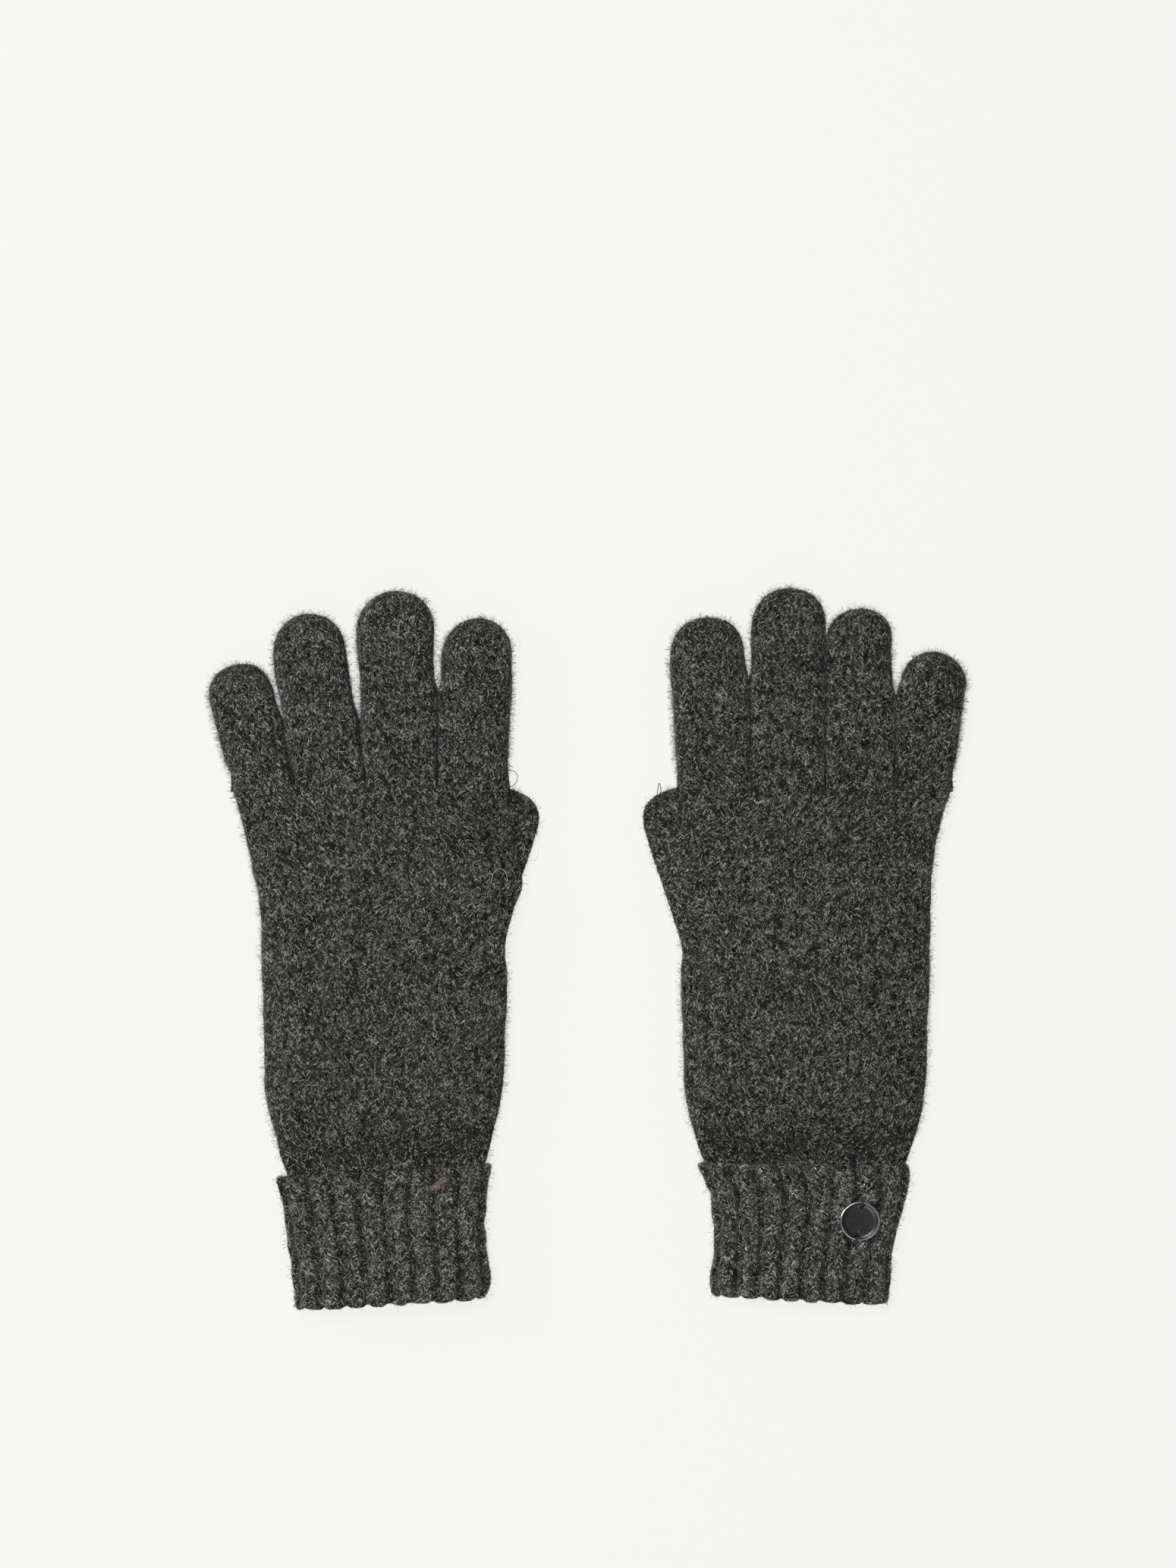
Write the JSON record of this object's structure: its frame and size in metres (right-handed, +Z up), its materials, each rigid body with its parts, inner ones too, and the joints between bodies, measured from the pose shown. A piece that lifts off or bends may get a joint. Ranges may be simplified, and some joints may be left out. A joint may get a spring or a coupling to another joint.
{
  "type": "knitted gloves",
  "caption": "Pair of plain-knit wool gloves lying flat, backs up, with turned-up ribbed cuffs and a round metal badge on the right one.",
  "frame": {"origin": "middle of the pair's underside, on the surface the gloves lie on", "axes": "+X from the left glove to the right one, +Y from the cuffs to the fingertips, +Z up out of the backs of the hands"},
  "size_m": [0.2638, 0.2508, 0.0157],
  "materials": {
    "plain_knit": "fuzzy charcoal melange stocking stitch",
    "rib_knit": "fuzzy charcoal melange two-by-two rib",
    "gunmetal": "polished dark gunmetal plating",
    "sewing_thread": "matte black thread"
  },
  "bodies": {
    "left_hand": {"left_hand": "plain_knit", "left_inner_cuff": "rib_knit"},
    "left_turned_up_cuff": {"left_turned_up_cuff": "rib_knit"},
    "left_thumb": {"left_thumb": "plain_knit"},
    "left_little_finger_base": {"left_little_finger_base": "plain_knit"},
    "left_little_finger_tip": {"left_little_finger_tip": "plain_knit"},
    "left_ring_finger_base": {"left_ring_finger_base": "plain_knit"},
    "left_ring_finger_tip": {"left_ring_finger_tip": "plain_knit"},
    "left_middle_finger_base": {"left_middle_finger_base": "plain_knit"},
    "left_middle_finger_tip": {"left_middle_finger_tip": "plain_knit"},
    "left_index_finger_base": {"left_index_finger_base": "plain_knit"},
    "left_index_finger_tip": {"left_index_finger_tip": "plain_knit"},
    "right_hand": {"right_hand": "plain_knit", "right_inner_cuff": "rib_knit"},
    "right_turned_up_cuff": {"right_turned_up_cuff": "rib_knit", "right_badge": "gunmetal", "right_badge_thread": "sewing_thread"},
    "right_thumb": {"right_thumb": "plain_knit"},
    "right_index_finger_base": {"right_index_finger_base": "plain_knit"},
    "right_index_finger_tip": {"right_index_finger_tip": "plain_knit"},
    "right_middle_finger_base": {"right_middle_finger_base": "plain_knit"},
    "right_middle_finger_tip": {"right_middle_finger_tip": "plain_knit"},
    "right_ring_finger_base": {"right_ring_finger_base": "plain_knit"},
    "right_ring_finger_tip": {"right_ring_finger_tip": "plain_knit"},
    "right_little_finger_base": {"right_little_finger_base": "plain_knit"},
    "right_little_finger_tip": {"right_little_finger_tip": "plain_knit"}
  },
  "joints": [
    {"name": "left_cuff_turn_down", "type": "slide", "parent": "left_hand", "child": "left_turned_up_cuff", "axis": [0, -1, 0], "range_m": [0, 0.044]},
    {"name": "left_thumb_swing", "type": "hinge", "parent": "left_hand", "child": "left_thumb", "pos_m": [-0.0417, 0.0118, 0.003], "axis": [0, 0, -1], "range_deg": [0, 50]},
    {"name": "left_little_knuckle", "type": "hinge", "parent": "left_hand", "child": "left_little_finger_base", "pos_m": [-0.11486, 0.063, 0.0065], "axis": [1, 0, 0], "range_deg": [-85, 60]},
    {"name": "left_little_middle_joint", "type": "hinge", "parent": "left_little_finger_base", "child": "left_little_finger_tip", "pos_m": [-0.11882, 0.08, 0.0065], "axis": [1, 0, 0], "range_deg": [-85, 60]},
    {"name": "left_ring_knuckle", "type": "hinge", "parent": "left_hand", "child": "left_ring_finger_base", "pos_m": [-0.0909, 0.063, 0.0065], "axis": [1, 0, 0], "range_deg": [-85, 60]},
    {"name": "left_ring_middle_joint", "type": "hinge", "parent": "left_ring_finger_base", "child": "left_ring_finger_tip", "pos_m": [-0.09513, 0.089, 0.0065], "axis": [1, 0, 0], "range_deg": [-85, 60]},
    {"name": "left_middle_knuckle", "type": "hinge", "parent": "left_hand", "child": "left_middle_finger_base", "pos_m": [-0.0655, 0.063, 0.0065], "axis": [1, 0, 0], "range_deg": [-85, 60]},
    {"name": "left_middle_middle_joint", "type": "hinge", "parent": "left_middle_finger_base", "child": "left_middle_finger_tip", "pos_m": [-0.06657, 0.092, 0.0065], "axis": [1, 0, 0], "range_deg": [-85, 60]},
    {"name": "left_index_knuckle", "type": "hinge", "parent": "left_hand", "child": "left_index_finger_base", "pos_m": [-0.04025, 0.063, 0.0065], "axis": [1, 0, 0], "range_deg": [-85, 60]},
    {"name": "left_index_middle_joint", "type": "hinge", "parent": "left_index_finger_base", "child": "left_index_finger_tip", "pos_m": [-0.03915, 0.088, 0.0065], "axis": [1, 0, 0], "range_deg": [-85, 60]},
    {"name": "right_cuff_turn_down", "type": "slide", "parent": "right_hand", "child": "right_turned_up_cuff", "axis": [0, -1, 0], "range_m": [0, 0.044]},
    {"name": "right_thumb_swing", "type": "hinge", "parent": "right_hand", "child": "right_thumb", "pos_m": [0.0435, 0.0118, 0.003], "axis": [0, 0, 1], "range_deg": [0, 50]},
    {"name": "right_index_knuckle", "type": "hinge", "parent": "right_hand", "child": "right_index_finger_base", "pos_m": [0.04387, 0.063, 0.0065], "axis": [1, 0, 0], "range_deg": [-85, 60]},
    {"name": "right_index_middle_joint", "type": "hinge", "parent": "right_index_finger_base", "child": "right_index_finger_tip", "pos_m": [0.04251, 0.088, 0.0065], "axis": [1, 0, 0], "range_deg": [-85, 60]},
    {"name": "right_middle_knuckle", "type": "hinge", "parent": "right_hand", "child": "right_middle_finger_base", "pos_m": [0.0702, 0.063, 0.0065], "axis": [1, 0, 0], "range_deg": [-85, 60]},
    {"name": "right_middle_middle_joint", "type": "hinge", "parent": "right_middle_finger_base", "child": "right_middle_finger_tip", "pos_m": [0.0702, 0.092, 0.0065], "axis": [1, 0, 0], "range_deg": [-85, 60]},
    {"name": "right_ring_knuckle", "type": "hinge", "parent": "right_hand", "child": "right_ring_finger_base", "pos_m": [0.09459, 0.063, 0.0065], "axis": [1, 0, 0], "range_deg": [-85, 60]},
    {"name": "right_ring_middle_joint", "type": "hinge", "parent": "right_ring_finger_base", "child": "right_ring_finger_tip", "pos_m": [0.09489, 0.089, 0.0065], "axis": [1, 0, 0], "range_deg": [-85, 60]},
    {"name": "right_little_knuckle", "type": "hinge", "parent": "right_hand", "child": "right_little_finger_base", "pos_m": [0.11729, 0.063, 0.0065], "axis": [1, 0, 0], "range_deg": [-85, 60]},
    {"name": "right_little_middle_joint", "type": "hinge", "parent": "right_little_finger_base", "child": "right_little_finger_tip", "pos_m": [0.11916, 0.082, 0.0065], "axis": [1, 0, 0], "range_deg": [-85, 60]},
    {"name": "right_glove_lift", "type": "slide", "parent": "left_hand", "child": "right_hand", "axis": [0, 0, 1], "range_m": [0, 0.06]}
  ]
}
